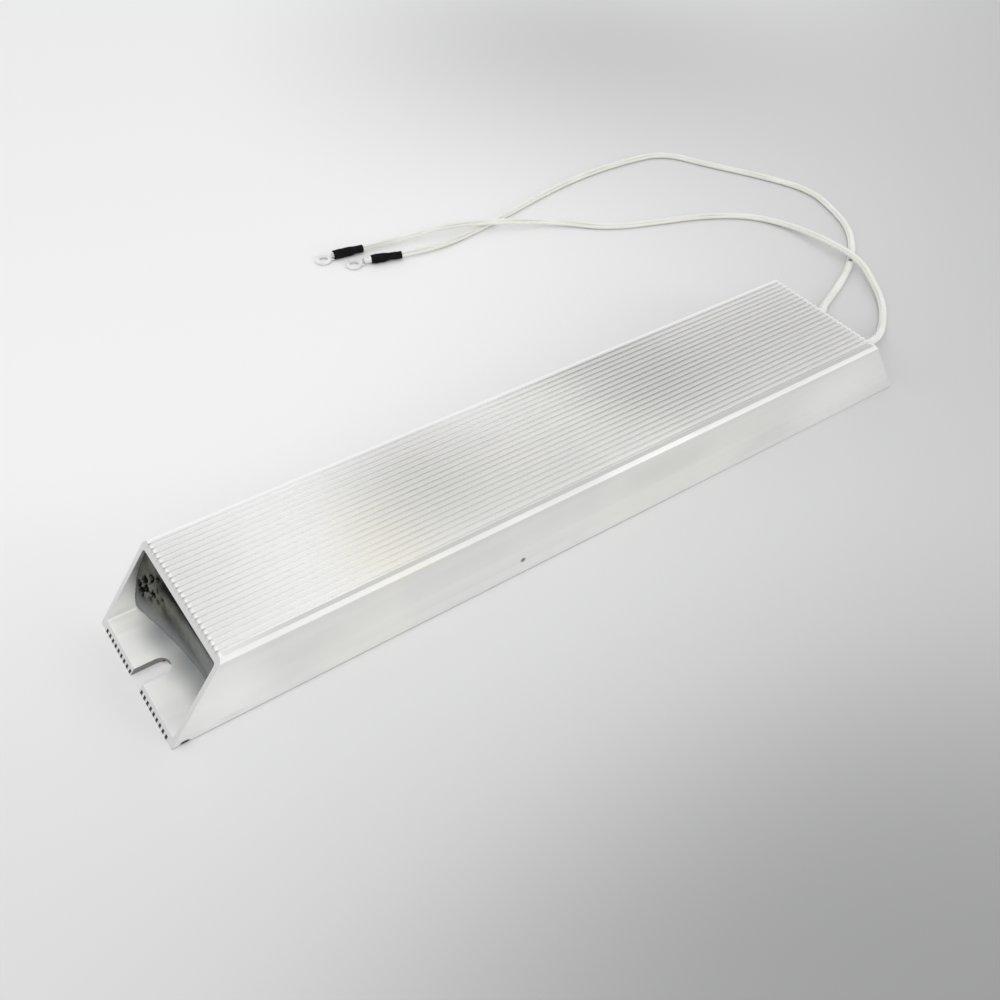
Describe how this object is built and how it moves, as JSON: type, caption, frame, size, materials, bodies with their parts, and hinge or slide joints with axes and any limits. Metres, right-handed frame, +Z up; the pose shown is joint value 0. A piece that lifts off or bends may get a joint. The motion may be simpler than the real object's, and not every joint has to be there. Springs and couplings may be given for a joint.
{
  "type": "aluminium housed power resistor",
  "caption": "Flat ribbed aluminium housed wirewound power resistor with slanting ends, open screw slots and two braided leads ending in ring terminals.",
  "frame": {"origin": "middle of the housing's underside", "axes": "+X along the length towards the end with the leads, +Y across, towards the side where the leads are laid, +Z up from the foot"},
  "size_m": [0.4311, 0.2229, 0.03],
  "materials": {
    "housing_aluminium": "matte, as extruded",
    "end_cement": "rough cast cement",
    "quartz_sand": "packed grains",
    "mica": "satin sheet",
    "resistance_ribbon": "rolled alloy",
    "nickel_strip": "satin",
    "rivet_steel": "satin",
    "tinned_terminal": "bright tin plate",
    "tinned_strands": "tinned copper strands",
    "braided_sleeving": "woven glass fibre",
    "black_shrink": "shrink sleeve"
  },
  "bodies": {
    "root": {"housing": "housing_aluminium", "end_seal_near": "end_cement", "end_seal_far": "end_cement", "sand_filling": "quartz_sand", "mica_sheet_lower": "mica", "mica_sheet_upper": "mica", "series_link": "nickel_strip", "mica_card_a": "mica", "winding_a": "resistance_ribbon", "terminal_tab_a": "nickel_strip", "crimp_sleeve_a": "tinned_terminal", "core_inner_a": "tinned_strands", "tab_rivet_a": "rivet_steel", "link_rivet_a": "rivet_steel", "lead_a": "braided_sleeving", "ring_terminal_a": "tinned_terminal", "core_outer_a": "tinned_strands", "shrink_sleeve_a": "black_shrink", "mica_card_b": "mica", "winding_b": "resistance_ribbon", "terminal_tab_b": "nickel_strip", "crimp_sleeve_b": "tinned_terminal", "core_inner_b": "tinned_strands", "tab_rivet_b": "rivet_steel", "link_rivet_b": "rivet_steel", "lead_b": "braided_sleeving", "ring_terminal_b": "tinned_terminal", "core_outer_b": "tinned_strands", "shrink_sleeve_b": "black_shrink"}
  },
  "joints": []
}
